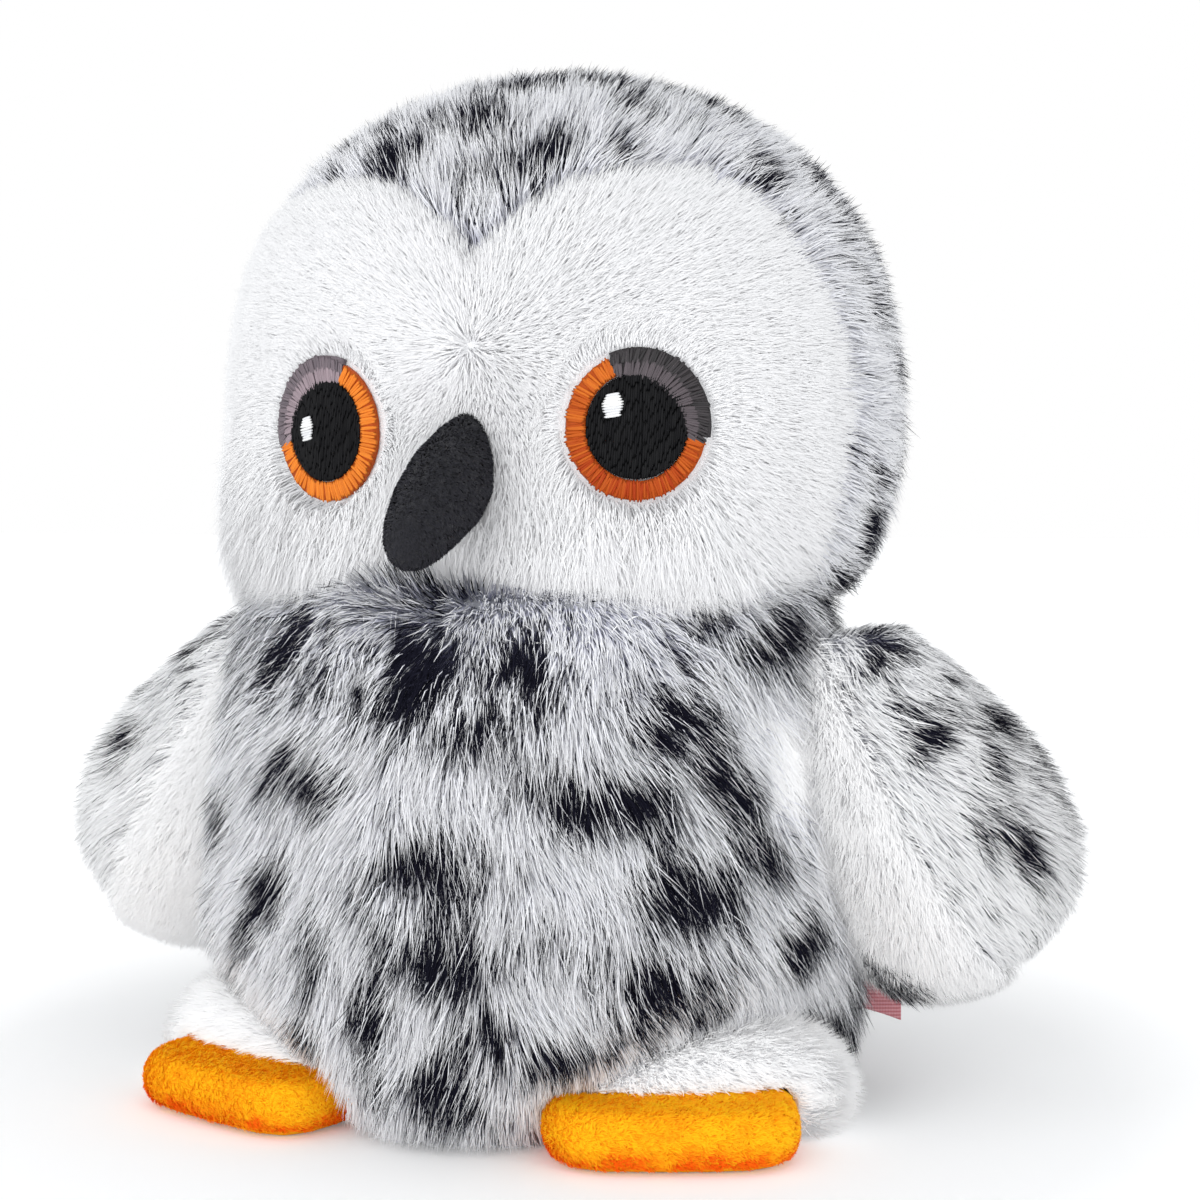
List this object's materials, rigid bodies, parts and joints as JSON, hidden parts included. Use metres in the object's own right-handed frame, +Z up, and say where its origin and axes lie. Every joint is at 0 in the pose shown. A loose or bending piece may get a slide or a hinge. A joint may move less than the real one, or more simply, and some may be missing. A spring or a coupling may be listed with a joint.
{
  "type": "electronic cat toy",
  "caption": "Plush snowy owl cat toy with spread wings, stitched eyes and a battery module in a back pocket that makes the wings flap.",
  "frame": {"origin": "centre of the flat base the owl sits on", "axes": "+Z up, the owl faces -Y, its left wing is on the +X side"},
  "size_m": [0.1698, 0.1176, 0.1653],
  "materials": {
    "owl_fur": "long pile, white with black patches",
    "white_fur": "short white pile",
    "beak_suede": "charcoal suede",
    "pupil_thread": "fill stitch",
    "iris_thread": "satin stitch",
    "lid_thread": "satin stitch",
    "glint_thread": "satin stitch",
    "foot_felt": "short orange pile",
    "label_cloth": "woven tape",
    "strip_nylon": "hook and loop",
    "case_plastic": "fine texture",
    "drive_plastic": "smooth moulded",
    "lever_plastic": "smooth moulded",
    "steel": "bright",
    "board_resin": "solder mask",
    "cell_wrap": "foil wrap",
    "chip_resin": "moulded",
    "lamp_plastic": "clear"
  },
  "bodies": {
    "root": {"body": "owl_fur", "head": "owl_fur", "face": "white_fur", "beak": "beak_suede", "eye_left_pupil": "pupil_thread", "eye_left_iris": "iris_thread", "eye_left_eyelid": "lid_thread", "eye_left_highlight": "glint_thread", "eye_right_pupil": "pupil_thread", "eye_right_iris": "iris_thread", "eye_right_eyelid": "lid_thread", "eye_right_highlight": "glint_thread", "foot_left": "foot_felt", "cuff_left": "white_fur", "foot_right": "foot_felt", "cuff_right": "white_fur", "loop_strip": "strip_nylon", "seam_label": "label_cloth", "module_case_front": "case_plastic", "module_case_rear": "case_plastic", "case_screw_1": "steel", "case_screw_2": "steel", "case_screw_3": "steel", "case_screw_4": "steel", "gear_plate": "drive_plastic", "crank_axle": "steel", "compound_axle": "steel", "motor": "steel", "battery": "cell_wrap", "circuit_board": "board_resin", "speaker": "chip_resin", "charging_socket": "steel", "power_switch": "chip_resin", "power_led": "lamp_plastic", "control_chip": "chip_resin", "vibration_sensor": "steel"},
    "wing_left": {"wing_left_pad": "owl_fur", "wing_left_lining": "white_fur", "wing_left_lever": "lever_plastic"},
    "wing_right": {"wing_right_pad": "owl_fur", "wing_right_lining": "white_fur", "wing_right_lever": "lever_plastic"},
    "yoke": {"yoke": "drive_plastic"},
    "crank": {"crank_gear": "drive_plastic"},
    "compound": {"compound_gear": "drive_plastic"},
    "pinion": {"motor_pinion": "steel"},
    "flap": {"pocket_flap": "owl_fur", "hook_strip": "strip_nylon"},
    "knob": {"switch_knob": "chip_resin"}
  },
  "joints": [
    {"name": "wing_left_beat", "type": "hinge", "parent": "root", "child": "wing_left", "pos_m": [0.021, -0.0053, 0.06], "axis": [0, -1, 0], "range_deg": [0, 20]},
    {"name": "wing_right_beat", "type": "hinge", "parent": "root", "child": "wing_right", "pos_m": [-0.021, -0.0053, 0.06], "axis": [0, 1, 0], "range_deg": [0, 20]},
    {"name": "yoke_slide", "type": "slide", "parent": "root", "child": "yoke", "axis": [0, 0, -1], "range_m": [0, 0.0032]},
    {"name": "crank_spin", "type": "hinge", "parent": "root", "child": "crank", "pos_m": [0, 0, 0.0395], "axis": [0, -1, 0], "continuous": true},
    {"name": "compound_spin", "type": "hinge", "parent": "root", "child": "compound", "pos_m": [0.01212, 0.001, 0.0325], "axis": [0, -1, 0], "continuous": true},
    {"name": "pinion_spin", "type": "hinge", "parent": "root", "child": "pinion", "pos_m": [0.00222, 0.003, 0.0226], "axis": [0, -1, 0], "continuous": true},
    {"name": "pocket_flap_open", "type": "hinge", "parent": "root", "child": "flap", "pos_m": [0, 0.0404, 0.077], "axis": [1, 0, 0], "range_deg": [0, 75]},
    {"name": "power_slide", "type": "slide", "parent": "root", "child": "knob", "axis": [1, 0, 0], "range_m": [0, 0.002]}
  ],
  "couplings": [
    {"joint": "wing_right_beat", "follows": "wing_left_beat", "ratio": 1},
    {"joint": "yoke_slide", "follows": "wing_left_beat", "m_per_rad": 0.009},
    {"joint": "compound_spin", "follows": "pinion_spin", "ratio": -0.33333},
    {"joint": "crank_spin", "follows": "pinion_spin", "ratio": 0.11111}
  ]
}
